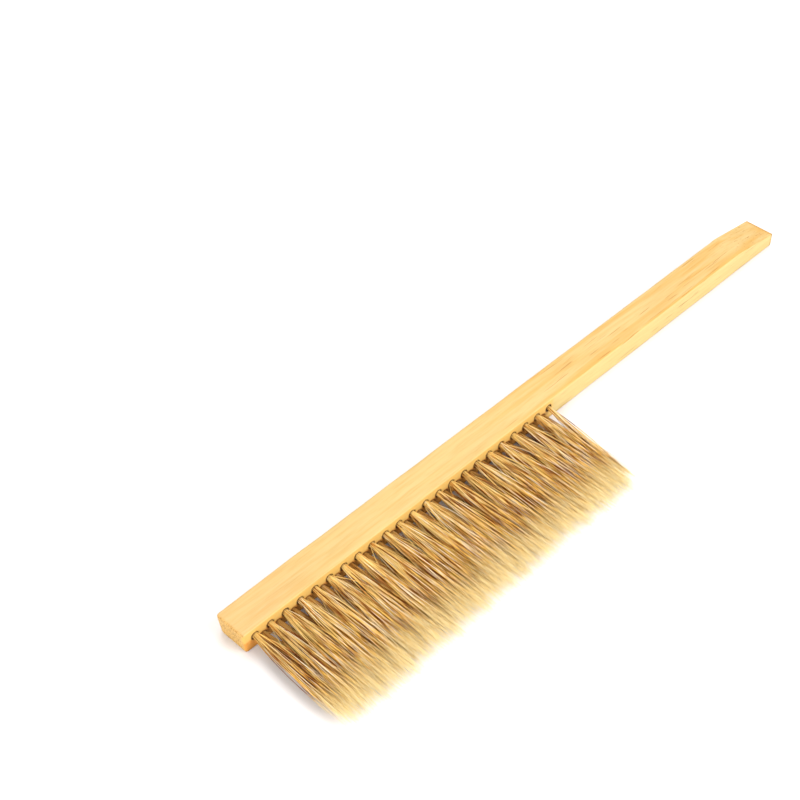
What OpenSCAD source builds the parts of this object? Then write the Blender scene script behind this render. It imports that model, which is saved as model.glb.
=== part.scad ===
// Bee brush. One wooden stick is both head and handle. Its head end carries two
// staggered rows of bristle tufts that point out of one narrow edge. Each tuft is
// folded round a flat metal anchor and driven into its own blind hole.
//
// The stick lies along X with the handle towards +X, and the tufts point towards -Y.
// The brush rests on its broad underside at z = 0. The origin is the middle of the
// whole footprint, stick and bristles together.

/* [Stick] */
// Overall length, head and handle in one piece
stick_length = 402.5; // [380:0.5:440]
// Width of the two broad faces
stick_width = 18; // [17:0.5:24]
// Thickness between the two broad faces
stick_thickness = 13.2; // [12.8:0.1:16]
// Radius eased along the four long edges
edge_radius = 1.1; // [0.5:0.1:1.5]
// Distance that the sawn head end leans out of square, furthest out at the top
head_end_lean = 1.7; // [0:0.1:4]
// Radius of the head's back corner, seen from above
back_corner_radius = 2; // [1:0.5:6]
// Radius of the other three corners, seen from above
corner_radius = 1; // [0.5:0.1:2]
// Length of the bevel on top of the handle end
bevel_length = 34; // [10:1:60]
// Thickness left at the end of the bevel
bevel_tip_thickness = 8; // [5:0.1:10]
// Flat taken off the upper and lower edges of the two ends
end_chamfer = 0.5; // [0.2:0.1:1]

/* [Rows of holes] */
// Distance from one tuft to the next in a row
tuft_pitch = 9; // [8.5:0.5:12]
// Tufts in the upper row; the lower row has one fewer, set between them
upper_count = 23; // [8:1:28]
// Distance from the head end to the first upper tuft
first_tuft_inset = 7.5; // [6.5:0.5:12]
// Height of the upper row of holes above the underside
upper_row_height = 7.6; // [7.4:0.1:9.2]
// Height of the lower row of holes above the underside
lower_row_height = 4.2; // [3.8:0.1:4.4]
// Diameter of a blind hole
hole_diameter = 3.6; // [3.5:0.1:4]
// Depth of a blind hole
hole_depth = 10.5; // [10.5:0.5:14]

/* [Tufts] */
// Length that the longest tufts stand out of the wood
bristle_length = 60; // [40:1:80]
// How much shorter the shortest tufts are
trim_variation = 2; // [0:0.5:4]
// Diameter of a tuft where it leaves the wood
root_diameter = 3.2; // [2.8:0.1:3.2]
// Height of the fan that one row spreads into at its tips
fan_height = 3.9; // [3:0.1:4.5]
// Gap between the fanned tips of two tufts in one row
side_gap = 0.4; // [0.2:0.1:1]
// Gap between the fans of the two rows
row_gap = 0.1; // [0.1:0.05:0.3]
// Gap between the lowest bristles and the surface below
floor_gap = 0.2; // [0:0.1:1]

/* [Anchors] */
// Width of an anchor across its hole, with the bite into the wood at each side
anchor_width = 4.2; // [4.1:0.1:4.6]
// Size of an anchor along its hole
anchor_depth = 2.4; // [1.5:0.1:2.5]
// Thickness of the flat wire
anchor_thickness = 0.3; // [0.2:0.05:0.5]

/* [Hidden] */
$fn = 48;
lower_count = upper_count - 1;
total_depth = stick_width + bristle_length;
head_x = -stick_length / 2;
back_y = total_depth / 2;
face_y = back_y - stick_width;
hole_radius = hole_diameter / 2;
root_radius = root_diameter / 2;
fan_radius = (tuft_pitch - side_gap) / 2;
// Over the last stretch a fan narrows, because its outermost bristles end first
tip_taper = 6;
tip_narrowing = 1.2;
tip_radius = fan_radius - tip_narrowing;
// The bundle in a hole stays clear of the wall and of the bottom
hole_clearance = 0.1;
bottom_clearance = 0.2;
plug_radius = hole_radius - hole_clearance;
plug_depth = hole_depth - bottom_clearance;
// The narrow end of the bundle, where the hair folds back round the anchor
fold_radius = 1.2;
fold_length = 1.9;
// The anchor stands just above the fold, and the hair stays clear of it
fold_clearance = 0.1;
anchor_bottom = plug_depth - fold_length - fold_clearance;
slot_clearance = 0.05;
// Distance that a cutting shape runs past the face it cuts
overcut = 1;
// Height at which the two rows part at the wood
row_split = (upper_row_height + lower_row_height) / 2;
upper_tip_height = floor_gap + fan_height + row_gap + fan_height / 2;
lower_tip_height = floor_gap + fan_height / 2;
// Number of lengths that the tufts come in, and the stride that mixes them along a row
trim_steps = 5;
trim_stride = 3;
// The lower row starts this many lengths on, so that it differs from the upper row
row_offset = 2;
// Width of the shape that flattens a fan, wider than any fan
flat_width = tuft_pitch * 2;

// Names run from 01 at the head end
function numbered(name, index) = str(name, index < 10 ? "0" : "", index);
function upper_x(index) = head_x + first_tuft_inset + (index - 1) * tuft_pitch;
function lower_x(index) = upper_x(index) + tuft_pitch / 2;
// Every fifth tuft has the full length, and the others are a little shorter
function trimmed_length(index) =
    bristle_length
    - trim_variation * ((index * trim_stride) % trim_steps) / (trim_steps - 1);

// What rounding takes off a square corner at the origin, seen from above
module corner_waste(radius) {
    difference() {
        translate([-overcut, -overcut]) square(radius + overcut);
        translate([radius, radius]) circle(r = radius);
    }
}

// Cross-section of the stick, with its four long edges eased
module stick_section() {
    rotate([90, 0, 90])
        linear_extrude(stick_length)
            difference() {
                square([stick_width, stick_thickness]);
                corner_waste(edge_radius);
                translate([stick_width, 0]) rotate(90) corner_waste(edge_radius);
                translate([stick_width, stick_thickness]) rotate(180) corner_waste(edge_radius);
                translate([0, stick_thickness]) rotate(270) corner_waste(edge_radius);
            }
}

// Outline of the stick from the side: the head end leans, and the handle end is bevelled
module stick_side() {
    tip_slope = (stick_thickness - bevel_tip_thickness) / bevel_length;
    end_slope = head_end_lean / stick_thickness;
    translate([0, stick_width, 0])
        rotate([90, 0, 0])
            linear_extrude(stick_width)
                polygon([
                    [head_end_lean - end_slope * end_chamfer, end_chamfer],
                    [head_end_lean + end_chamfer, 0],
                    [stick_length - end_chamfer, 0],
                    [stick_length, end_chamfer],
                    [stick_length, bevel_tip_thickness - end_chamfer],
                    [stick_length - end_chamfer, bevel_tip_thickness + tip_slope * end_chamfer],
                    [stick_length - bevel_length, stick_thickness],
                    [end_chamfer, stick_thickness],
                    [end_slope * end_chamfer, stick_thickness - end_chamfer]
                ]);
}

// Waste along an upright corner of the stick, as tall as the stick with some to spare
module corner_cutter(radius) {
    translate([0, 0, -overcut])
        linear_extrude(stick_thickness + overcut * 2)
            corner_waste(radius);
}

// The four upright corners; the two at the head lean with its end
module corner_cutters() {
    lean_angle = atan(head_end_lean / stick_thickness);
    translate([head_end_lean, 0, 0])
        rotate([0, -lean_angle, 0])
            corner_cutter(corner_radius);
    translate([head_end_lean, stick_width, 0])
        rotate([0, -lean_angle, 0])
            rotate(270)
                corner_cutter(back_corner_radius);
    translate([stick_length, 0, 0]) rotate(90) corner_cutter(corner_radius);
    translate([stick_length, stick_width, 0]) rotate(180) corner_cutter(corner_radius);
}

// Places its children at the mouth of a hole: X along the stick, Y up, Z out of the wood
module at_mouth(x, height) {
    translate([x, face_y, height])
        rotate([90, 0, 0])
            children();
}

module blind_hole() {
    translate([0, 0, -hole_depth])
        cylinder(r = hole_radius, h = hole_depth + overcut);
}

// Flat wire that stands across the hole and bites into the wood at both sides
module anchor_plate(clearance = 0) {
    plate = [anchor_width, anchor_thickness, anchor_depth] + 2 * clearance * [1, 1, 1];
    translate([0, 0, anchor_depth / 2 - anchor_bottom])
        cube(plate, center = true);
}

module wooden_stick() {
    color("burlywood")
        difference() {
            translate([head_x, face_y, 0])
                difference() {
                    intersection() {
                        stick_section();
                        stick_side();
                    }
                    corner_cutters();
                }
            for (i = [1:upper_count]) {
                at_mouth(upper_x(i), upper_row_height) blind_hole();
                at_mouth(upper_x(i), upper_row_height) anchor_plate();
            }
            for (i = [1:lower_count]) {
                at_mouth(lower_x(i), lower_row_height) blind_hole();
                at_mouth(lower_x(i), lower_row_height) anchor_plate();
            }
        }
}

// The part of a tuft inside its hole, folded round the anchor
module tuft_plug() {
    difference() {
        translate([0, 0, -plug_depth])
            rotate_extrude()
                polygon([
                    [0, 0],
                    [fold_radius, 0],
                    [plug_radius, fold_length],
                    [plug_radius, plug_depth],
                    [0, plug_depth]
                ]);
        anchor_plate(slot_clearance);
    }
}

// The free part of a tuft: a cone of bristles whose axis falls by drop along its
// length. It is flattened between the heights in root_span at the wood and tip_span
// at the tips, all measured from the middle of the hole.
module tuft_fan(length, drop, root_span, tip_span) {
    intersection() {
        rotate([atan(drop / length), 0, 0])
            translate([0, 0, -overcut])
                rotate_extrude()
                    polygon([
                        [0, 0],
                        [root_radius, 0],
                        [root_radius, overcut],
                        [fan_radius, length + overcut - tip_taper],
                        [tip_radius, length + overcut * 2],
                        [0, length + overcut * 2]
                    ]);
        rotate([0, -90, 0])
            linear_extrude(flat_width, center = true)
                polygon([
                    [0, root_span[0]],
                    [length, tip_span[0]],
                    [length, tip_span[1]],
                    [0, root_span[1]]
                ]);
    }
}

module upper_tuft(index) {
    drop = upper_row_height - upper_tip_height;
    color("tan")
        at_mouth(upper_x(index), upper_row_height) {
            tuft_plug();
            tuft_fan(
                trimmed_length(index),
                drop,
                [row_split + row_gap / 2 - upper_row_height, root_radius],
                [-fan_height / 2 - drop, fan_height / 2 - drop]
            );
        }
}

module lower_tuft(index) {
    drop = lower_row_height - lower_tip_height;
    color("darkkhaki")
        at_mouth(lower_x(index), lower_row_height) {
            tuft_plug();
            tuft_fan(
                trimmed_length(index + row_offset),
                drop,
                [-root_radius, row_split - row_gap / 2 - lower_row_height],
                [-fan_height / 2 - drop, fan_height / 2 - drop]
            );
        }
}

module upper_row_anchors() {
    color("silver")
        for (i = [1:upper_count])
            at_mouth(upper_x(i), upper_row_height) anchor_plate();
}

module lower_row_anchors() {
    color("silver")
        for (i = [1:lower_count])
            at_mouth(lower_x(i), lower_row_height) anchor_plate();
}

wooden_stick();
for (i = [1:upper_count])
    upper_tuft(i);
for (i = [1:lower_count])
    lower_tuft(i);
upper_row_anchors();
lower_row_anchors();
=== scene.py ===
import math

import bpy
import numpy as np
from mathutils import Matrix, Vector


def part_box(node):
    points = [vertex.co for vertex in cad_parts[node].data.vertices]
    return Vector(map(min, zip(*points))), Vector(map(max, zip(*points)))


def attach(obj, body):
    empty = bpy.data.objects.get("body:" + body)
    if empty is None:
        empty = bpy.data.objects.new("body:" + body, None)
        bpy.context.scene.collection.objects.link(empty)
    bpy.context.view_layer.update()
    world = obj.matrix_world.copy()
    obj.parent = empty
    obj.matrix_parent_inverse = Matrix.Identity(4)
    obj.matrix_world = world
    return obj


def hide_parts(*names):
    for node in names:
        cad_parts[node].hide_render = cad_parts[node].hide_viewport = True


# The looks of a bee brush: a softwood stick with two staggered rows of hair tufts.
# Lengths are in metres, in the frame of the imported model, where the stick lies along X,
# the tufts point towards -Y and the brush rests on z = 0.

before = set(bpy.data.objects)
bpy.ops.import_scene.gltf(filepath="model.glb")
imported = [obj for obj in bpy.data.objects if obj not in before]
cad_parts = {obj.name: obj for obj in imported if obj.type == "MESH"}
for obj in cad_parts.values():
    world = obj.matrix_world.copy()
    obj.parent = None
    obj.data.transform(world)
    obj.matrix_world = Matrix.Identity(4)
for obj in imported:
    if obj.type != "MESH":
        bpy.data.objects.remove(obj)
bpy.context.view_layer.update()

MM = 0.001
BODY = "root"
# Seeds of the random draws for the stick and for the tufts
SEED = 7
TUFT_SEED = 47

# ---------------------------------------------------------------- sizes from the frame

STICK_LOW, STICK_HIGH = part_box("wooden_stick")
UPPER_TUFTS = sorted(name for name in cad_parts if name.startswith("upper_tuft_"))
LOWER_TUFTS = sorted(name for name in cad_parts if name.startswith("lower_tuft_"))
ANCHORS = {"upper": "upper_row_anchors", "lower": "lower_row_anchors"}

STICK_THICKNESS = STICK_HIGH.z - STICK_LOW.z
FACE_Y = STICK_LOW.y

# ---------------------------------------------------------------- driving sizes of the stick

HEAD_LEAN = 1.7 * MM
BACK_CORNER_RADIUS = 2.0 * MM
CORNER_RADIUS = 1.0 * MM
END_EASING = 0.5 * MM
EDGE_RADIUS = 1.1 * MM
EDGE_WEAR = 0.25 * MM
BEVEL_LENGTH = 34 * MM
BEVEL_TIP_THICKNESS = 8 * MM
BEVEL_EDGE_RADIUS = 0.35 * MM
BEVEL_EDGE_BLEND = 1 * MM
BEVEL_BLEND = 4 * MM
LEAN_FADE = 20 * MM
WAVER_HEIGHT = 0.05 * MM
WAVER_LENGTH = 90 * MM
WEAR_LENGTH = 50 * MM
SAW_RIDGE_SPACING = 0.35 * MM
SAW_RIDGE_HEIGHT = 0.03 * MM
SAW_RIDGE_SLANT = 0.8
SAW_ROUGHNESS = 0.02 * MM
HOLE_RADIUS = 1.8 * MM
HOLE_DEPTH = 10.5 * MM
MOUTH_RAGGEDNESS = 0.07 * MM
SHARP_ANGLE = math.radians(32)

# ---------------------------------------------------------------- driving sizes of the tufts

ROOT_RADIUS = 1.6 * MM
# The fold under the anchor: how deep it lies in the hole, its length, and room for the anchor
FOLD_DEPTH = 9.6 * MM
FOLD_LENGTH = 1 * MM
ANCHOR_CLEARANCE = 0.3 * MM
STRANDS_PER_TUFT = 120
HAIRS_PER_STRAND = 2
LOCKS_PER_TUFT = 8
STRAND_RADIUS = 0.1 * MM
HAIR_ROOT_RADIUS = 0.145 * MM
HAIR_TIP_RADIUS = 0.03 * MM
HAIR_TAPER_POWER = 2.5
FAN_HALF_WIDTH = 3.5 * MM
FAN_HALF_HEIGHT = 1.7 * MM
STRAY_SHARE = 0.06
# A hair ends this far past the CAD tuft, less a random part of the shortfall. A lock that is longer
# takes it no further than the extra.
LENGTH_OVER = 6.8 * MM
LONGEST_EXTRA = 1 * MM
SHORTFALL = 16.5 * MM
# How far along X the tips of the last tufts stand from their roots. The lean grows from LEAN_START.
LEAN_START = -22 * MM
END_TUFT_LEAN = -5.0 * MM
LAST_TUFT_LEAN = -7.0 * MM
LAST_TUFT_FULLNESS = 0.5
FLOOR_GAP = 0.25 * MM
TIP_HEIGHTS = {"upper": 6.3 * MM, "lower": 2.4 * MM}

# How much the locks, strands and hairs of a tuft differ, as standard deviations. Where there
# are two numbers, the first is along the stick and the second is up.
LOCK_SHIFT = [0.55 * MM, 0.25 * MM]
LOCK_BEND = [0.25 * MM, 0.15 * MM]
LOCK_TONE = 0.07
LOCK_END = 1.2 * MM
STRAND_WANDER = [1.5 * MM, 0.7 * MM]
STRAND_BEND = [0.4 * MM, 0.3 * MM]
STRAND_SWAY = [0.2 * MM, 0.15 * MM]
HAIR_SCATTER = 0.02 * MM
HAIR_SPLAY = [0.8 * MM, 0.5 * MM]
HAIR_TONE = 0.07
STRAY_TIP = [3.5 * MM, 1.0 * MM]
STRAY_BEND = [1.4 * MM, 0.8 * MM]
STRAY_SWAY = [0.8 * MM, 0.4 * MM]

# Lowest and highest power with which a lock opens along its length, and each strand's factor on it
LOCK_OPENING = (1.7, 2.6)
STRAND_OPENING = (0.75, 1.3)

# Powers of the share of a hair's length: bends peak nearer the root, and hairs splay at the tip
BEND_POWER = 0.8
SPLAY_POWER = 5
# The sway fades in from the root at this rate
SWAY_RATE = 5


# ---------------------------------------------------------------- meshes

def new_piece(name, vertices, faces, attributes=None):
    """A smooth-shaded mesh object, with a float for each vertex under each name in attributes."""
    mesh = bpy.data.meshes.new(name)
    mesh.from_pydata(vertices.tolist(), [], faces)
    mesh.shade_smooth()
    for key, values in (attributes or {}).items():
        layer = mesh.attributes.new(key, "FLOAT", "POINT")
        layer.data.foreach_set("value", values.astype(np.float32))
    piece = bpy.data.objects.new(name, mesh)
    bpy.context.scene.collection.objects.link(piece)
    return piece


def ring_faces(rings, points, offset=0):
    """Quads that join neighbouring closed rings of points, ring by ring."""
    here = np.arange(points)
    following = (here + 1) % points
    starts = offset + points * np.arange(rings - 1)[:, None]
    quads = np.stack([
        starts + here,
        starts + following,
        starts + points + following,
        starts + points + here,
    ], axis=-1)
    return quads.reshape(-1, 4).tolist()


def smooth_wave(x, generator, wavelength, waves=5):
    """A slow random wave along x, between about -1 and 1."""
    total = np.zeros_like(x)
    for _ in range(waves):
        length = wavelength * generator.uniform(0.6, 2.0)
        total += np.sin(2 * np.pi * (x / length + generator.random()))
    return total / waves ** 0.5 / 1.5


def smoothstep(value):
    value = np.clip(value, 0, 1)
    return value * value * (3 - 2 * value)


# ---------------------------------------------------------------- stick

# Points round a section: on each rounded edge, and on the flats between two edges
ARC_POINTS = 7
BROAD_POINTS = 9
NARROW_POINTS = 6
# Stations along the stick, which stand closer at its ends and where the bevel starts
STATION_SPACING = 2.5 * MM
STATION_MARGIN = 0.4 * MM
FIRST_STATION_GAP = 1 * MM
END_STATIONS = 7
CREASE_STATIONS = 9
# Rings that close an end, inside the outline of the end
CAP_RINGS = 7


def stations():
    """The stations, as distances from the head end."""
    length = STICK_HIGH.x - STICK_LOW.x
    turn = 1 - np.cos(np.linspace(0, np.pi / 2, END_STATIONS))
    head = BACK_CORNER_RADIUS * turn
    tail = length - CORNER_RADIUS * turn[::-1]
    crease = length - BEVEL_LENGTH + BEVEL_BLEND * np.linspace(-1, 1, CREASE_STATIONS)
    middle = np.arange(head[-1] + FIRST_STATION_GAP, tail[0], STATION_SPACING)
    middle = middle[np.abs(middle - crease.mean()) > BEVEL_BLEND + STATION_MARGIN]
    return np.unique(np.concatenate([head, middle, crease, tail]))


def end_inset(distance, radius):
    """How far a rounded corner pulls a side in at a distance from the end."""
    short = np.clip(radius - distance, 0, radius)
    return radius - np.sqrt(radius ** 2 - short ** 2)


def soft_ramp(value, blend):
    """0 below -blend and value itself above blend, with a smooth bend between them."""
    bend = (value + blend) ** 2 / (4 * blend)
    return np.where(value > blend, value, np.where(value > -blend, bend, 0))


def section_loops(along):
    """One closed loop of (y, z) around the stick for each station, all with the same points."""
    generator = np.random.default_rng(SEED)
    length = STICK_HIGH.x - STICK_LOW.x
    from_tail = length - along
    slope = (STICK_THICKNESS - BEVEL_TIP_THICKNESS) / BEVEL_LENGTH
    bevel = soft_ramp(along - (length - BEVEL_LENGTH), BEVEL_BLEND)
    end_easing = end_inset(along, END_EASING) + end_inset(from_tail, END_EASING)
    waver = WAVER_HEIGHT * smooth_wave(along, generator, WAVER_LENGTH)
    front = STICK_LOW.y + end_inset(along, CORNER_RADIUS) + end_inset(from_tail, CORNER_RADIUS)
    back = STICK_HIGH.y - end_inset(along, BACK_CORNER_RADIUS) - end_inset(from_tail, CORNER_RADIUS)
    back = back - np.abs(waver)
    bottom = STICK_LOW.z + end_easing
    top = STICK_HIGH.z - slope * bevel - end_easing - np.abs(waver)
    on_bevel = smoothstep(bevel / BEVEL_EDGE_BLEND)
    # For each edge, the side and level it rounds off, its arc's first angle, and 1 if it is on top
    edges = [
        (front, bottom, 180, 0),
        (back, bottom, 270, 0),
        (back, top, 0, 1),
        (front, top, 90, 1),
    ]
    flats = [BROAD_POINTS, NARROW_POINTS, BROAD_POINTS, NARROW_POINTS]
    arcs = []
    for side, level, start, is_top in edges:
        radius = EDGE_RADIUS + EDGE_WEAR * smooth_wave(along, generator, WEAR_LENGTH)
        radius = radius * (1 - is_top * on_bevel) + BEVEL_EDGE_RADIUS * is_top * on_bevel
        angle = np.radians(start + np.linspace(0, 90, ARC_POINTS))
        inward_y = radius if side is front else -radius
        inward_z = -radius if is_top else radius
        y = (side + inward_y)[:, None] + radius[:, None] * np.cos(angle)
        z = (level + inward_z)[:, None] + radius[:, None] * np.sin(angle)
        arcs.append(np.stack([y, z], axis=-1))
    loops = []
    for number, arc in enumerate(arcs):
        following = arcs[(number + 1) % len(arcs)]
        share = np.arange(1, flats[number] + 1) / (flats[number] + 1)
        start, end = arc[:, -1:], following[:, :1]
        loops += [arc, start + (end - start) * share[None, :, None]]
    return np.concatenate(loops, axis=1)


def cap_rings(loop, outward, generator):
    """Rings that close an end of the stick, with the faint ridges that a saw leaves."""
    centre = loop.mean(axis=0)
    shares = 1 - np.arange(1, CAP_RINGS + 1) / (CAP_RINGS + 0.5)
    rings = centre + (loop - centre)[None] * shares[:, None, None]
    ridges = np.sin((rings[..., 1] * SAW_RIDGE_SLANT + rings[..., 2]) / SAW_RIDGE_SPACING)
    rough = SAW_RIDGE_HEIGHT * ridges + SAW_ROUGHNESS * generator.standard_normal(rings.shape[:2])
    rings[..., 0] += outward * (rough - SAW_RIDGE_HEIGHT)
    return rings


def stick_mesh():
    """The stick without its holes: one closed skin with a leaning head end and a bevelled tail."""
    generator = np.random.default_rng(SEED + 1)
    along = stations()
    loops = section_loops(along)
    points = loops.shape[1]
    lean_fade = np.clip(1 - along / LEAN_FADE, 0, 1)[:, None]
    lean = HEAD_LEAN * (1 - loops[..., 1] / STICK_THICKNESS) * lean_fade
    x = STICK_LOW.x + along[:, None] + lean
    skin = np.concatenate([x[..., None], loops], axis=-1)
    head_cap = cap_rings(skin[0], -1, generator)[::-1]
    tail_cap = cap_rings(skin[-1], 1, generator)
    rings = np.concatenate([head_cap, skin, tail_cap])
    vertices = rings.reshape(-1, 3)
    last = (len(rings) - 1) * points
    faces = [quad[::-1] for quad in ring_faces(len(rings), points)]
    faces.append(list(range(points)))
    faces.append(list(range(last, last + points))[::-1])
    return new_piece("stick_wood", vertices, faces)


def tuft_centres(names, row):
    """The middle of each hole's mouth, from the frame: x from the tuft, height from the anchors."""
    low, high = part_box(ANCHORS[row])
    height = (low.z + high.z) / 2
    half_width = (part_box(names[0])[0].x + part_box(names[0])[1].x) / 2 - low.x
    positions = np.linspace(low.x + half_width, high.x - half_width, len(names))
    return [Vector((x, FACE_Y, height)) for x in positions]


CENTRES = {"upper": tuft_centres(UPPER_TUFTS, "upper"), "lower": tuft_centres(LOWER_TUFTS, "lower")}
ALL_CENTRES = CENTRES["upper"] + CENTRES["lower"]
PITCH = CENTRES["upper"][1].x - CENTRES["upper"][0].x

HOLE_SIDES = 32


def hole_cutter():
    """All the blind holes in one mesh, each a little ragged and flared at its mouth."""
    generator = np.random.default_rng(SEED + 2)
    # Depth, radius and raggedness of the rings of a hole, from its bottom to outside its mouth
    profile = [
        (HOLE_DEPTH, HOLE_RADIUS * 0.93, 0.0),
        (HOLE_DEPTH - 0.2 * MM, HOLE_RADIUS, 0.0),
        (0.9 * MM, HOLE_RADIUS, 0.0),
        (0.25 * MM, HOLE_RADIUS * 1.015, 0.3),
        (0.0, HOLE_RADIUS * 1.045, 1.0),
        (-1.5 * MM, HOLE_RADIUS * 1.2, 1.0),
    ]
    angle = np.linspace(0, 2 * np.pi, HOLE_SIDES, endpoint=False)
    vertices, faces = [], []
    for centre in ALL_CENTRES:
        rag = MOUTH_RAGGEDNESS * generator.standard_normal(HOLE_SIDES)
        first = len(vertices) * HOLE_SIDES
        for depth, radius, raggedness in profile:
            reach = radius + raggedness * rag
            vertices.append(np.stack([
                centre.x + reach * np.cos(angle),
                np.full(HOLE_SIDES, centre.y + depth),
                centre.z + reach * np.sin(angle),
            ], axis=-1))
        faces += ring_faces(len(profile), HOLE_SIDES, first)
        last = first + (len(profile) - 1) * HOLE_SIDES
        faces.append(list(range(first, first + HOLE_SIDES))[::-1])
        faces.append(list(range(last, last + HOLE_SIDES)))
    return new_piece("hole_cutter", np.concatenate(vertices), faces)


def cut(piece, cutter):
    """Takes the cutter's shape out of the piece and removes the cutter."""
    modifier = piece.modifiers.new("cut", "BOOLEAN")
    modifier.operation = "DIFFERENCE"
    modifier.solver = "EXACT"
    modifier.object = cutter
    depsgraph = bpy.context.evaluated_depsgraph_get()
    mesh = bpy.data.meshes.new_from_object(piece.evaluated_get(depsgraph))
    piece.modifiers.clear()
    piece.data = mesh
    bpy.data.objects.remove(cutter)


def make_stick():
    piece = stick_mesh()
    cut(piece, hole_cutter())
    piece.data.shade_smooth()
    piece.data.set_sharp_from_angle(angle=SHARP_ANGLE)
    piece.data.name = piece.name
    return piece


# ---------------------------------------------------------------- tufts

HAIR_SIDES = 3
# Tones that the strands draw from, from dark brown at 0 to cream at 1
STRAND_TONES = np.array([0.04, 0.14, 0.28, 0.40, 0.46, 0.52, 0.57, 0.62, 0.67, 0.72, 0.80])
# Shares of a hair's free length, from the mouth of its hole to its tip
HAIR_STATIONS = np.array([0.0, 0.05, 0.12, 0.2, 0.28, 0.37, 0.47, 0.58, 0.7, 0.84, 1.0])


def sunflower(count, radius, generator):
    """Points spread evenly over a disc."""
    golden_angle = np.pi * (3 - np.sqrt(5))
    index = np.arange(count)
    angle = index * golden_angle + generator.random() * 2 * np.pi
    reach = radius * np.sqrt((index + 0.5) / count)
    return np.stack([reach * np.cos(angle), reach * np.sin(angle)], axis=-1)


def nearest(points, centres):
    """For each point, the number of the centre nearest to it."""
    return np.argmin(((points[:, None] - centres[None]) ** 2).sum(-1), axis=1)


def tuft_paths(length, drop, lean, fullness, generator):
    """The centre lines of one tuft's hairs, as (hair, station, xyz) from the middle of the mouth,
    and a tone and a warmth for each hair. Hairs gather in strands, and strands in locks."""
    strand_count = round(STRANDS_PER_TUFT * fullness)
    bundle_radius = ROOT_RADIUS * math.sqrt(fullness)
    strands = sunflower(strand_count, bundle_radius - STRAND_RADIUS, generator)
    lock_seeds = strands[generator.choice(strand_count, LOCKS_PER_TUFT, replace=False)]
    lock = nearest(strands, lock_seeds)
    unit = strands / bundle_radius

    lock_shift = generator.normal(0, LOCK_SHIFT, (LOCKS_PER_TUFT, 2))
    lock_bend = generator.normal(0, LOCK_BEND, (LOCKS_PER_TUFT, 2))
    lock_opening = generator.uniform(*LOCK_OPENING, LOCKS_PER_TUFT)
    lock_tone = generator.normal(0, LOCK_TONE, LOCKS_PER_TUFT)
    lock_end = generator.normal(0, LOCK_END, LOCKS_PER_TUFT)

    spread = unit * [FAN_HALF_WIDTH, FAN_HALF_HEIGHT]
    wander = generator.normal(0, STRAND_WANDER, (strand_count, 2))
    strand_tip = spread * fullness + (lock_shift[lock] + wander) * fullness
    strand_bend = lock_bend[lock] + generator.normal(0, STRAND_BEND, (strand_count, 2))
    strand_sway = generator.normal(0, STRAND_SWAY, (strand_count, 2))
    strand_opening = lock_opening[lock] * generator.uniform(*STRAND_OPENING, strand_count)

    count = strand_count * HAIRS_PER_STRAND
    strand = np.repeat(np.arange(strand_count), HAIRS_PER_STRAND)
    around = sunflower(HAIRS_PER_STRAND, STRAND_RADIUS, generator)
    inside = np.tile(around, (strand_count, 1)) + generator.normal(0, HAIR_SCATTER, (count, 2))
    splay = generator.normal(0, HAIR_SPLAY, (count, 2))
    root = strands[strand] + inside
    tip = strand_tip[strand] + inside
    bend = strand_bend[strand] * fullness
    sway = strand_sway[strand] * fullness
    stray = generator.random(count) < STRAY_SHARE
    tip[stray] += generator.normal(0, STRAY_TIP, (stray.sum(), 2)) * fullness ** 2
    bend[stray] += generator.normal(0, STRAY_BEND, (stray.sum(), 2)) * fullness ** 2
    sway[stray] += generator.normal(0, STRAY_SWAY, (stray.sum(), 2))

    shortfall = SHORTFALL * generator.random(count) ** 0.5
    hair_length = length + LENGTH_OVER - shortfall + lock_end[lock[strand]]
    hair_length = np.minimum(hair_length, length + LENGTH_OVER + LONGEST_EXTRA)

    share = HAIR_STATIONS[None, :, None]
    spreading = 1 - (1 - share) ** strand_opening[strand][:, None, None]
    arc = np.sin(np.pi * share ** BEND_POWER)
    double_arc = np.sin(2 * np.pi * share) * np.minimum(1, SWAY_RATE * share)
    across = root[:, None] + (tip - root)[:, None] * spreading
    across += bend[:, None] * arc + sway[:, None] * double_arc
    across += splay[:, None] * share ** SPLAY_POWER
    paths = np.empty((count, len(HAIR_STATIONS), 3))
    paths[..., 0] = across[..., 0] + lean * share[..., 0]
    paths[..., 1] = -hair_length[:, None] * HAIR_STATIONS[None]
    paths[..., 2] = across[..., 1] - drop * share[..., 0]

    strand_tone = STRAND_TONES[generator.integers(0, len(STRAND_TONES), strand_count)]
    tone = strand_tone[strand] + lock_tone[lock[strand]] + generator.normal(0, HAIR_TONE, count)
    warmth = generator.random(strand_count)[strand]
    return paths, np.clip(tone, 0, 1), warmth


def folded_roots(paths):
    """The stations inside the hole: a hair goes down beside the anchor and turns in under it."""
    mouth = paths[:, 0]
    side = np.where(mouth[:, 2] >= 0, 1, -1)
    beside = mouth.copy()
    beside[:, 1] = FOLD_DEPTH - FOLD_LENGTH
    beside[:, 2] = side * np.maximum(np.abs(mouth[:, 2]) * 0.8, ANCHOR_CLEARANCE)
    under = beside * [0.8, 1, 0.1]
    under[:, 1] = FOLD_DEPTH
    return np.concatenate([under[:, None], beside[:, None], paths], axis=1)


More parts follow.
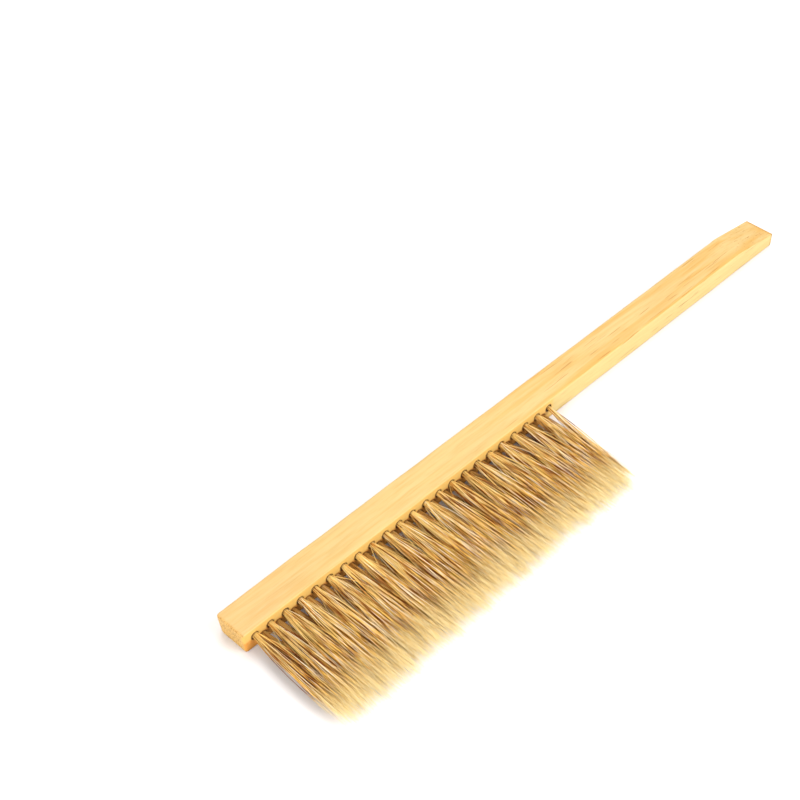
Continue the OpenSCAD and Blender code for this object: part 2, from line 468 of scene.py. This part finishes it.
def make_tuft(node, centre, tip_height, lean, fullness, number):
    """One tuft as real hairs, each a closed tapering tube that starts under the anchor."""
    generator = np.random.default_rng([TUFT_SEED, number])
    length = centre.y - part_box(node)[0].y
    paths, tone, warmth = tuft_paths(length, centre.z - tip_height, lean, fullness, generator)
    paths = folded_roots(paths)
    count, rings = paths.shape[:2]
    share = np.concatenate([[0, 0], HAIR_STATIONS])
    radius = HAIR_ROOT_RADIUS + (HAIR_TIP_RADIUS - HAIR_ROOT_RADIUS) * share ** HAIR_TAPER_POWER
    paths[..., 2] = np.maximum(paths[..., 2] + centre.z, FLOOR_GAP + radius) - centre.z
    turn = generator.random(count)[:, None] + np.arange(HAIR_SIDES) / HAIR_SIDES
    angle = 2 * np.pi * turn
    rim = np.stack([np.cos(angle), np.zeros_like(angle), np.sin(angle)], axis=-1)
    vertices = paths[:, :, None] + rim[:, None] * radius[None, :, None, None]
    vertices = (vertices + np.array(centre)).reshape(-1, 3)
    faces = []
    per_hair = rings * HAIR_SIDES
    for hair in range(count):
        first = hair * per_hair
        last = first + per_hair - HAIR_SIDES
        faces += ring_faces(rings, HAIR_SIDES, first)
        faces.append([first + HAIR_SIDES - 1 - k for k in range(HAIR_SIDES)])
        faces.append([last + k for k in range(HAIR_SIDES)])
    along = np.tile(np.repeat(share, HAIR_SIDES), count)
    # Where the middle of each hair is, so that a streak of colour can follow the hair
    middle = paths[:, rings // 2] + np.array(centre)
    attributes = {
        "along": along,
        "middle_x": np.repeat(middle[:, 0], per_hair),
        "middle_z": np.repeat(middle[:, 2], per_hair),
        "tone": np.repeat(tone, per_hair),
        "warmth": np.repeat(warmth, per_hair),
    }
    return new_piece(node + "_hair", vertices, faces, attributes)


# ---------------------------------------------------------------- materials

class Surface:
    """A material being built. Its methods add nodes and give back what comes out of them."""

    def __init__(self, name):
        self.material = bpy.data.materials.new(name)
        self.material.use_nodes = True
        self.tree = self.material.node_tree
        self.shader = self.tree.nodes["Principled BSDF"]

    def feed(self, socket, value):
        if isinstance(value, bpy.types.NodeSocket):
            self.tree.links.new(value, socket)
        else:
            socket.default_value = value

    def node(self, kind, inputs, **settings):
        node = self.tree.nodes.new("ShaderNode" + kind)
        for key, value in settings.items():
            setattr(node, key, value)
        for key, value in inputs.items():
            self.feed(node.inputs[key], value)
        return node

    def math(self, operation, *values, clamp=False):
        inputs = dict(enumerate(values))
        return self.node("Math", inputs, operation=operation, use_clamp=clamp).outputs[0]

    def plus(self, first, second):
        return self.math("ADD", first, second)

    def minus(self, first, second):
        return self.math("SUBTRACT", first, second)

    def times(self, first, second):
        return self.math("MULTIPLY", first, second)

    def reach(self, across, up):
        """Length of the vector with these two parts."""
        squares = self.plus(self.times(across, across), self.times(up, up))
        return self.math("SQRT", squares)

    def position(self):
        """The point in the model's frame, as a vector and as x, y and z."""
        coordinates = self.node("TexCoord", {}).outputs["Object"]
        parts = self.node("SeparateXYZ", {0: coordinates}).outputs
        return coordinates, parts[0], parts[1], parts[2]

    def normal(self):
        """The direction that the surface faces, as x, y and z."""
        facing = self.node("NewGeometry", {}).outputs["Normal"]
        parts = self.node("SeparateXYZ", {0: facing}).outputs
        return parts[0], parts[1], parts[2]

    def vector(self, x, y, z):
        return self.node("CombineXYZ", {0: x, 1: y, 2: z}).outputs[0]

    def noise(self, vector, scale, detail=3.0, roughness=0.55):
        inputs = {"Vector": vector, "Scale": scale, "Detail": detail, "Roughness": roughness}
        return self.node("TexNoise", inputs).outputs["Fac"]

    def grain(self, vector, cells, detail):
        """Noise with this many cells in a metre along X, Y and Z."""
        stretched = self.node("VectorMath", {0: vector, 1: cells}, operation="MULTIPLY").outputs[0]
        return self.noise(stretched, 1.0, detail)

    def remap(self, value, low, high, to_low=0.0, to_high=1.0):
        """Goes smoothly from to_low at low to to_high at high, and stays level outside them."""
        inputs = {0: value, 1: low, 2: high, 3: to_low, 4: to_high}
        return self.node("MapRange", inputs, interpolation_type="SMOOTHSTEP").outputs[0]

    def mix(self, factor, first, second, blend="MIX"):
        inputs = {0: factor, 6: first, 7: second}
        return self.node("Mix", inputs, data_type="RGBA", blend_type=blend).outputs[2]

    def attribute(self, name):
        """The float that new_piece stored under this name."""
        return self.node("Attribute", {}, attribute_name=name).outputs["Fac"]

    def bump(self, height, strength, distance):
        inputs = {"Height": height, "Strength": strength, "Distance": distance}
        return self.node("Bump", inputs).outputs[0]

    def finish(self, colour, roughness, normal, **settings):
        """Connects the shader, sets its uniform values, and gives back the material."""
        self.feed(self.shader.inputs["Base Color"], colour)
        self.feed(self.shader.inputs["Roughness"], roughness)
        self.feed(self.shader.inputs["Normal"], normal)
        for key, value in settings.items():
            socket = key.replace("_", " ").title().replace("Ior", "IOR")
            self.shader.inputs[socket].default_value = value
        return self.material


def colour(red, green, blue):
    """A linear colour with full opacity."""
    return (red, green, blue, 1.0)


EARLY_WOOD = colour(0.52, 0.362, 0.149)
LATE_WOOD = colour(0.50, 0.320, 0.105)
ORANGE_WOOD = colour(0.50, 0.275, 0.065)
HEAD_TINT = colour(1.0, 0.920, 0.925)
# Side grain of the faces towards -Y and +Y, painted paler as painted light
LIT_SIDE_WOOD = colour(0.61, 0.470, 0.195)
# Dark brown of the dashes and of the line by the tail end, also the painted contact shadow on the
# lower edge
DASH_AND_SHADE_WOOD = colour(0.33, 0.150, 0.035)
# End grain, painted brighter as painted light
LIT_END_GRAIN = colour(0.84, 0.580, 0.215)
END_FLECK = colour(0.26, 0.115, 0.022)
# Near-black brown of drilled wood, also painted shade in the holes, round the mouths and near the
# floor
DRILLED_AND_SHADE_WOOD = colour(0.085, 0.028, 0.006)
# Orange stain of the drilled face, painted brighter as painted light
STAINED_AND_LIT_WOOD = colour(0.70, 0.430, 0.112)
# Red-brown painted shade, low on the drilled face among the tufts
PAINTED_SHADE_WOOD = colour(0.64, 0.250, 0.038)

# The growth rings run round a pith far outside the stick
RING_SPACING = 3.1 * MM
RING_DRIFT = 0.016
RING_WANDER = 9 * MM
PITH_Y = -95 * MM
PITH_Z = 4 * MM

# How fine the marks in the wood are, in cells per metre along X, Y and Z or in every direction
WANDER_CELLS = (6, 70, 70)
FLAME_CELLS = (11, 210, 210)
WISP_CELLS = (60, 800, 800)
CLOUD_CELLS = (14, 45, 45)
DASH_CELLS = (50, 1500, 1500)
CHAR_SCALE = 1300.0
TORN_SCALE = 1100.0
SPECK_SCALE = 1500.0

# The next ones are spans: where a mark begins, and where it reaches its full strength.
# Places along X from the head to the handle, and heights above the underside
HANDLE_MARKS_X = (-60 * MM, 40 * MM)
# Heights of the painted contact shadow along the lower edge
CONTACT_SHADE_HEIGHTS = (1.0 * MM, 0.2 * MM)
PAINTED_SHADE_HEIGHTS = (7.8 * MM, 6.2 * MM)
LOW_SHADE_HEIGHTS = (3.2 * MM, 0.4 * MM)
# Distances inwards from the head end, the tail end and the drilled face
HEAD_TINT_DEPTHS = (60 * MM, 8 * MM)
HEAD_RIM_DEPTHS = (1.6 * MM, 0.3 * MM)
TAIL_RIM_DEPTHS = (2.8 * MM, 0.4 * MM)
TAIL_LINE_DEPTHS = (1.3 * MM, 0.5 * MM)
HEART_DEPTHS = (8.5 * MM, 2 * MM)
STAIN_DEPTHS = (1.4 * MM, 0.2 * MM)
SOOT_AND_SHADE_DEPTHS = (HOLE_DEPTH + 1 * MM, HOLE_DEPTH)
# Distances along X from the last upper hole, and up from the top face
STAIN_PAST_LAST = (5 * MM, 1 * MM)
PAINTED_SHADE_PAST_LAST = (0, -6 * MM)
STAIN_ABOVE_TOP = (-0.3 * MM, -1.6 * MM)

# The dark ring round a mouth, which is drilling marks and painted shadow and lies off to the
# left and up: its middle from the hole's, and per row its width and strength
MOUTH_SHIFT_X = -0.25 * MM
MOUTH_SHIFT_Z = 0.15 * MM
MOUTH_STAINS_AND_SHADE = {"upper": (1.05 * MM, 1.0), "lower": (1.2 * MM, 0.9)}
MOUTH_RAGGED_EDGE = 0.2 * MM
MOUTH_STAIN_OVERLAP = 0.05 * MM

WOOD_SPECULAR = 0.2


def measured(origin, span):
    """The span as two places, measured from this origin."""
    return [origin + distance for distance in span]


def growth_rings(surface, vector, x, y, z):
    """0 in pale early wood, rising to 1 at the sharp edge of the late wood. The rings drift across
    the stick slowly, so that they draw long slanting lines."""
    drift = surface.times(x, RING_DRIFT)
    wander = surface.grain(vector, WANDER_CELLS, 2.0)
    wander = surface.times(surface.minus(wander, 0.5), RING_WANDER)
    across = surface.minus(surface.plus(y, drift), PITH_Y)
    up = surface.minus(z, PITH_Z)
    from_pith = surface.plus(surface.reach(across, up), wander)
    year = surface.math("FRACT", surface.math("DIVIDE", from_pith, RING_SPACING))
    rise = surface.remap(year, 0.15, 0.8)
    fall = surface.remap(year, 0.88, 1.0)
    return surface.math("SUBTRACT", rise, fall, clamp=True)


def hole_distance(surface, x, z, row):
    """Distance from the middle of the nearest dark mouth ring of the row, which is stain and
    painted shadow.
    """
    first = CENTRES[row][0]
    last_step = float(len(CENTRES[row]) - 1)
    steps = surface.math("ROUND", surface.math("DIVIDE", surface.minus(x, first.x), PITCH))
    steps = surface.math("MAXIMUM", surface.math("MINIMUM", steps, last_step), 0.0)
    axis = surface.plus(surface.times(steps, PITCH), first.x)
    across = surface.minus(x, surface.plus(axis, MOUTH_SHIFT_X))
    up = surface.minus(z, first.z + MOUTH_SHIFT_Z)
    return surface.reach(across, up)


def wood_grain(surface, vector, x, y, z, side):
    """The planed wood: pale rings, orange flames and short dark dashes, with the side faces painted
    paler as painted light. Flames, dashes and the painted contact shadow along the lower edge are
    stronger on the handle. Gives back the rings and wisps for the bump."""
    handle = surface.remap(x, *HANDLE_MARKS_X, 0.2, 1.0)
    rings = growth_rings(surface, vector, x, y, z)
    flames = surface.grain(vector, FLAME_CELLS, 2.0)
    wisps = surface.grain(vector, WISP_CELLS, 3.0)
    clouds = surface.grain(vector, CLOUD_CELLS, 2.0)
    dashes = surface.grain(vector, DASH_CELLS, 1.0)

    base = surface.mix(surface.times(rings, 0.35), EARLY_WOOD, LATE_WOOD)
    base = surface.mix(surface.remap(wisps, 0.45, 0.7, 0.0, 0.45), base, LATE_WOOD)
    heart = surface.remap(y, *measured(FACE_Y, HEART_DEPTHS), 0.0, 0.10)
    orange = surface.remap(surface.plus(flames, heart), 0.46, 0.70, 0.0, 0.80)
    base = surface.mix(surface.times(orange, handle), base, ORANGE_WOOD)
    head_end = surface.remap(x, *measured(STICK_LOW.x, HEAD_TINT_DEPTHS))
    base = surface.mix(head_end, base, HEAD_TINT, "MULTIPLY")
    # The side faces are painted paler, as painted light
    base = surface.mix(surface.times(side, 0.85), base, LIT_SIDE_WOOD)
    shade = surface.remap(wisps, 0.3, 0.7, 1.025, 0.955)
    shade = surface.times(shade, surface.remap(clouds, 0.3, 0.7, 0.97, 1.03))
    base = surface.mix(1.0, base, surface.vector(shade, shade, shade), "MULTIPLY")
    dashes = surface.times(surface.remap(dashes, 0.65, 0.72, 0.0, 0.7), handle)
    base = surface.mix(dashes, base, DASH_AND_SHADE_WOOD)
    # Painted contact shadow: on the handle the lower edge darkens, as shade where it meets the
    # floor
    contact_shade = surface.times(surface.remap(z, *CONTACT_SHADE_HEIGHTS, 0.0, 0.65), handle)
    return surface.mix(contact_shade, base, DASH_AND_SHADE_WOOD), rings, wisps


def drilled_stain_and_shade(surface, base, vector, x, y, z):
    """The drilled face is stained orange along the rows, painted brighter as painted light. Low
    down it gets painted shade, and the mouths and the insides of the holes are dark with drilling
    marks and painted shade.
    """
    char = surface.noise(vector, CHAR_SCALE, detail=2.0)
    ragged = surface.remap(char, 0.3, 0.7, -MOUTH_RAGGED_EDGE, MOUTH_RAGGED_EDGE)
    last_x = CENTRES["upper"][-1].x
    along = surface.remap(x, *measured(last_x, STAIN_PAST_LAST))
    level = surface.remap(z, *measured(STICK_HIGH.z, STAIN_ABOVE_TOP))
    skin = surface.remap(y, *measured(FACE_Y, STAIN_DEPTHS))
    stain_and_shade_area = surface.times(surface.times(along, level), skin)
    # The stain, painted brighter as painted light against the tufts' shade
    base = surface.mix(surface.times(stain_and_shade_area, 0.9), base, STAINED_AND_LIT_WOOD)
    # Painted shade: below the upper tufts the drilled face turns red-brown
    low = surface.remap(z, *PAINTED_SHADE_HEIGHTS, 0.0, 0.8)
    low = surface.times(low, surface.remap(x, *measured(last_x, PAINTED_SHADE_PAST_LAST)))
    base = surface.mix(surface.times(stain_and_shade_area, low), base, PAINTED_SHADE_WOOD)
    # Painted shade under the lower tufts: darker towards the bottom
    low_shade = surface.remap(z, *LOW_SHADE_HEIGHTS, 0.0, 0.3)
    base = surface.mix(surface.times(stain_and_shade_area, low_shade), base, DRILLED_AND_SHADE_WOOD)
    depth = surface.remap(y, *measured(FACE_Y, SOOT_AND_SHADE_DEPTHS))
    wall = HOLE_RADIUS - MOUTH_STAIN_OVERLAP
    # The mouths and the hole walls darken, as drilling marks and painted shade
    for row, (width, strength) in MOUTH_STAINS_AND_SHADE.items():
        distance = surface.plus(hole_distance(surface, x, z, row), ragged)
        drilled_and_shade = surface.remap(distance, HOLE_RADIUS + width, wall, 0.0, strength)
        base = surface.mix(surface.times(drilled_and_shade, depth), base, DRILLED_AND_SHADE_WOOD)
    return base


def sawn_ends(surface, base, specks, vector, x, z, end_face):
    """The sawn ends show cut fibres as specks, with torn brown fibres along their rims. Their end
    grain is painted brighter, as painted light.
    """
    end_colour = surface.mix(surface.remap(specks, 0.45, 0.68, 0.0, 0.14), LIT_END_GRAIN, END_FLECK)
    base = surface.mix(surface.times(end_face, 0.9), base, end_colour)
    torn = surface.noise(vector, TORN_SCALE)
    lean = surface.times(surface.minus(STICK_HIGH.z, z), HEAD_LEAN / STICK_THICKNESS)
    from_head = surface.minus(surface.minus(x, STICK_LOW.x), lean)
    from_tail = surface.minus(STICK_HIGH.x, x)
    head_rim = surface.remap(from_head, *HEAD_RIM_DEPTHS, 0.0, 0.6)
    off_face = surface.remap(end_face, 0.0, 1.0, 1.0, 0.65)
    tail_rim = surface.times(surface.remap(from_tail, *TAIL_RIM_DEPTHS, 0.0, 0.9), off_face)
    rim = surface.math("MAXIMUM", head_rim, tail_rim)
    base = surface.mix(rim, base, ORANGE_WOOD)
    # On the end face itself this is past the line's reach, so the line stays on the sides
    beside_face = surface.plus(from_tail, surface.times(end_face, 2 * MM))
    tail_line = surface.remap(beside_face, *TAIL_LINE_DEPTHS, 0.0, 0.6)
    base = surface.mix(tail_line, base, DASH_AND_SHADE_WOOD)
    torn = surface.times(surface.remap(torn, 0.50, 0.60), rim)
    return surface.mix(torn, base, END_FLECK)


def wood_material():
    """Pale softwood, planed but not varnished."""
    surface = Surface("planed_softwood")
    vector, x, y, z = surface.position()
    facing_x, facing_y, _ = surface.normal()
    # Faces towards -Y or +Y, which are painted paler as painted light
    side = surface.remap(surface.math("ABSOLUTE", facing_y), 0.6, 0.95)
    base, rings, wisps = wood_grain(surface, vector, x, y, z, side)
    end_face = surface.remap(surface.math("ABSOLUTE", facing_x), 0.75, 0.95)
    specks = surface.noise(vector, SPECK_SCALE, roughness=0.7)
    base = sawn_ends(surface, base, specks, vector, x, z, end_face)
    base = drilled_stain_and_shade(surface, base, vector, x, y, z)
    roughness = surface.remap(wisps, 0.3, 0.7, 0.55, 0.72)
    height = surface.plus(surface.times(wisps, 0.6), surface.times(rings, 0.3))
    height = surface.plus(height, surface.times(specks, end_face))
    bump = surface.bump(height, 0.3, 0.1 * MM)
    return surface.finish(base, roughness, bump, specular_ior_level=WOOD_SPECULAR)


# Dark brown hair, also the painted shadow in the gaps between locks
DARK_HAIR_AND_GAP_SHADE = colour(0.195, 0.048, 0.004)
BROWN_HAIR = colour(0.58, 0.255, 0.045)
STRAW_HAIR = colour(0.73, 0.508, 0.172)
GOLD_HAIR = colour(0.78, 0.503, 0.140)
# Cream hair, also the painted highlights on the strands
CREAM_HAIR_AND_HIGHLIGHT = colour(0.86, 0.700, 0.46)
MIDDLE_HAIR = colour(0.85, 0.520, 0.108)
TIP_HAIR = colour(0.87, 0.670, 0.285)
PALE_TIP = colour(0.90, 0.770, 0.470)
# Painted shade of the hair low down near the wood
SHADED_HAIR = colour(0.40, 0.170, 0.030)

# Streaks of colour, which are narrow and run along the hairs and are partly painted shadow gaps
# and painted highlights, and the hairs' fine surface
STREAK_CELLS = (2100, 50, 2100)
HAIR_SURFACE_CELLS = (6000, 900, 6000)
HAIR_SPECULAR = 0.18

# Spans of tone over which a hair turns brown, dark or cream. The dark and cream ends are partly
# hair tone and partly painted shadow in the gaps and painted highlights.
BROWN_TONES = (0.48, 0.24)
DARK_TONES = (0.26, 0.04)
CREAM_TONES = (0.76, 1.2)
# Spans along a hair, as shares of its free length, over which it takes its further colours
MIDDLE_SPAN = (0.3, 0.62)
TIP_SPAN = (0.68, 0.97)
PALE_TIP_SPAN = (0.88, 1.0)
# Heights, and places along Y from the drilled face, between which the painted shade fades in
SHADED_HAIR_HEIGHTS = (7.4 * MM, 5.2 * MM)
SHADED_HAIR_REACH = (-17 * MM, -3 * MM)


def hair_material():
    """Natural hair: straw and gold with dark and cream streaks, and paler and plainer at the tips.
    The dark and cream streaks are partly hair tone and partly painted shadow gaps and painted
    highlights. Low down near the wood it gets painted shade."""
    surface = Surface("natural_hair")
    vector, _, y, z = surface.position()
    tone = surface.attribute("tone")
    along = surface.attribute("along")
    warmth = surface.attribute("warmth")
    # Only y changes along a hair, so a streak stays on the hairs that it starts on
    followed = surface.vector(surface.attribute("middle_x"), y, surface.attribute("middle_z"))
    # The streaks are partly hair tone, and partly painted shadow gaps between locks and painted
    # highlights
    streaks = surface.grain(followed, STREAK_CELLS, 1.0)
    strength = surface.remap(along, 0.0, 0.25, 0.5, 1.0)
    strength = surface.plus(strength, surface.remap(along, 0.4, 0.62, 0.0, 0.35))
    contrast = surface.times(surface.remap(streaks, 0.34, 0.66, -0.54, 0.52), strength)
    paling = surface.remap(along, 0.4, 0.65, -0.025, 0.06)
    shade = surface.plus(surface.plus(tone, contrast), paling)
    body = surface.mix(warmth, STRAW_HAIR, GOLD_HAIR)
    body = surface.mix(surface.remap(along, *MIDDLE_SPAN), body, MIDDLE_HAIR)
    base = surface.mix(surface.remap(shade, *BROWN_TONES), body, BROWN_HAIR)
    base = surface.mix(surface.remap(shade, *DARK_TONES), base, DARK_HAIR_AND_GAP_SHADE)
    base = surface.mix(surface.remap(shade, *CREAM_TONES), base, CREAM_HAIR_AND_HIGHLIGHT)
    base = surface.mix(surface.remap(along, *TIP_SPAN, 0.0, 0.95), base, TIP_HAIR)
    base = surface.mix(surface.remap(along, *PALE_TIP_SPAN, 0.0, 0.8), base, PALE_TIP)
    # Painted shade: low hair near the wood darkens, as under the upper tufts
    low = surface.remap(z, *SHADED_HAIR_HEIGHTS, 0.0, 0.7)
    near_wood = surface.remap(y, *measured(FACE_Y, SHADED_HAIR_REACH))
    base = surface.mix(surface.times(low, near_wood), base, SHADED_HAIR)
    roughness = surface.remap(streaks, 0.3, 0.7, 0.45, 0.62)
    height = surface.grain(vector, HAIR_SURFACE_CELLS, 2.0)
    bump = surface.bump(height, 0.2, 0.02 * MM)
    return surface.finish(base, roughness, bump, specular_ior_level=HAIR_SPECULAR)


WIRE_STEEL = colour(0.62, 0.61, 0.58)
WIRE_TARNISH = colour(0.40, 0.36, 0.30)
WIRE_LINE_CELLS = (400, 9000, 9000)
TARNISH_SCALE = 900.0


def anchor_material():
    """Drawn flat steel wire with faint lines along it and a little tarnish."""
    surface = Surface("drawn_flat_wire")
    vector = surface.position()[0]
    lines = surface.grain(vector, WIRE_LINE_CELLS, 3.0)
    tarnish = surface.noise(vector, TARNISH_SCALE)
    base = surface.mix(surface.remap(tarnish, 0.4, 0.7), WIRE_STEEL, WIRE_TARNISH)
    roughness = surface.remap(lines, 0.3, 0.7, 0.22, 0.45)
    return surface.finish(base, roughness, surface.bump(lines, 0.3, 0.01 * MM), metallic=1.0)


FLOOR_DIM = colour(0.700, 0.675, 0.665)
FLOOR_PALE = colour(0.720, 0.695, 0.685)
FLOOR_FAR = colour(0.985, 0.985, 0.985)
FLOOR_CLOUD_SCALE = 3.0
FLOOR_FADE = (0.7, 2.6)
FLOOR_SPECULAR = 0.1


def floor_material():
    """A pale matt floor that grows whiter further from the brush."""
    surface = Surface("pale_floor")
    vector, x, y, _ = surface.position()
    cloud = surface.noise(vector, FLOOR_CLOUD_SCALE, detail=2.0)
    base = surface.mix(cloud, FLOOR_DIM, FLOOR_PALE)
    far = surface.remap(surface.reach(x, y), *FLOOR_FADE)
    base = surface.mix(far, base, FLOOR_FAR)
    bump = surface.bump(cloud, 0.05, 0.1 * MM)
    return surface.finish(base, 0.9, bump, specular_ior_level=FLOOR_SPECULAR)


# ---------------------------------------------------------------- floor, light and camera

# The camera was fitted to the edges and corners seen in the photo
CAMERA_PLACE = Vector((-432.45, -308.9, 542.0)) * MM
CAMERA_AIM = Vector((0.5070, 0.5065, -0.6974))
CAMERA_ROLL = math.radians(-0.66)
CAMERA_LENS = 67.7
SENSOR_WIDTH = 36.0

# Name, direction from the brush, distance, size and power in watts
LIGHTS = [
    ("key_light", (0.3, -0.78, 0.78), 4.0, 2.4, 140.0),
    ("top_light", (0.35, 0.45, 1.0), 4.0, 2.4, 62.0),
    ("fill_light", (-1.0, -0.2, 0.5), 2.4, 1.6, 29.0),
]
WORLD_STRENGTH = 1.0
FLOOR_REACH = 40.0


def add_camera():
    data = bpy.data.cameras.new("camera")
    data.lens = CAMERA_LENS
    data.sensor_width = SENSOR_WIDTH
    data.clip_start = 0.01
    data.clip_end = 100.0
    camera = bpy.data.objects.new("camera", data)
    bpy.context.scene.collection.objects.link(camera)
    turn = CAMERA_AIM.to_track_quat("-Z", "Y").to_matrix() @ Matrix.Rotation(CAMERA_ROLL, 3, "Z")
    camera.matrix_world = Matrix.Translation(CAMERA_PLACE) @ turn.to_4x4()
    bpy.context.scene.camera = camera


def add_area_light(name, direction, distance, size, power):
    """A square soft light that faces the middle of the brush."""
    data = bpy.data.lights.new(name, "AREA")
    data.size = size
    data.energy = power
    light = bpy.data.objects.new(name, data)
    bpy.context.scene.collection.objects.link(light)
    away = Vector(direction).normalized()
    turn = away.to_track_quat("Z", "Y").to_matrix()
    light.matrix_world = Matrix.Translation(away * distance) @ turn.to_4x4()


def add_world(strength):
    """White light from all round."""
    world = bpy.data.worlds.new("studio")
    world.use_nodes = True
    background = world.node_tree.nodes["Background"]
    background.inputs["Color"].default_value = colour(1.0, 1.0, 1.0)
    background.inputs["Strength"].default_value = strength
    bpy.context.scene.world = world


def add_floor():
    corners = np.array([(-1, -1, 0), (1, -1, 0), (1, 1, 0), (-1, 1, 0)]) * FLOOR_REACH
    floor = new_piece("floor", corners, [[0, 1, 2, 3]])
    floor.data.materials.append(floor_material())


# ---------------------------------------------------------------- the brush

def place(piece, material, slot, *nodes):
    """Gives the piece its material and lets it stand in for these CAD nodes."""
    piece.data.materials.clear()
    piece.data.materials.append(material)
    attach(piece, BODY)
    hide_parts(*nodes)


def build_brush():
    """The stick and the tufts in place of their CAD nodes, and the anchors as they are in the CAD.
    Near the handle the tips lean towards the head, and the last upper tuft is also thinner."""
    place(make_stick(), wood_material(), "wood", "wooden_stick")
    hair = hair_material()
    number = 0
    last_x = CENTRES["upper"][-1].x
    for row, names in (("upper", UPPER_TUFTS), ("lower", LOWER_TUFTS)):
        for node, centre in zip(names, CENTRES[row]):
            number += 1
            lean = END_TUFT_LEAN * smoothstep((centre.x - LEAN_START) / (last_x - LEAN_START))
            fullness = 1.0
            if centre.x == last_x:
                lean, fullness = LAST_TUFT_LEAN, LAST_TUFT_FULLNESS
            tuft = make_tuft(node, centre, TIP_HEIGHTS[row], lean, fullness, number)
            place(tuft, hair, "bristle", node)
    wire = anchor_material()
    for node in ANCHORS.values():
        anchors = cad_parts[node]
        anchors.data.materials.clear()
        anchors.data.materials.append(wire)


bpy.context.scene.view_settings.view_transform = "Standard"
add_camera()
add_world(WORLD_STRENGTH)
for light in LIGHTS:
    add_area_light(*light)
add_floor()
build_brush()
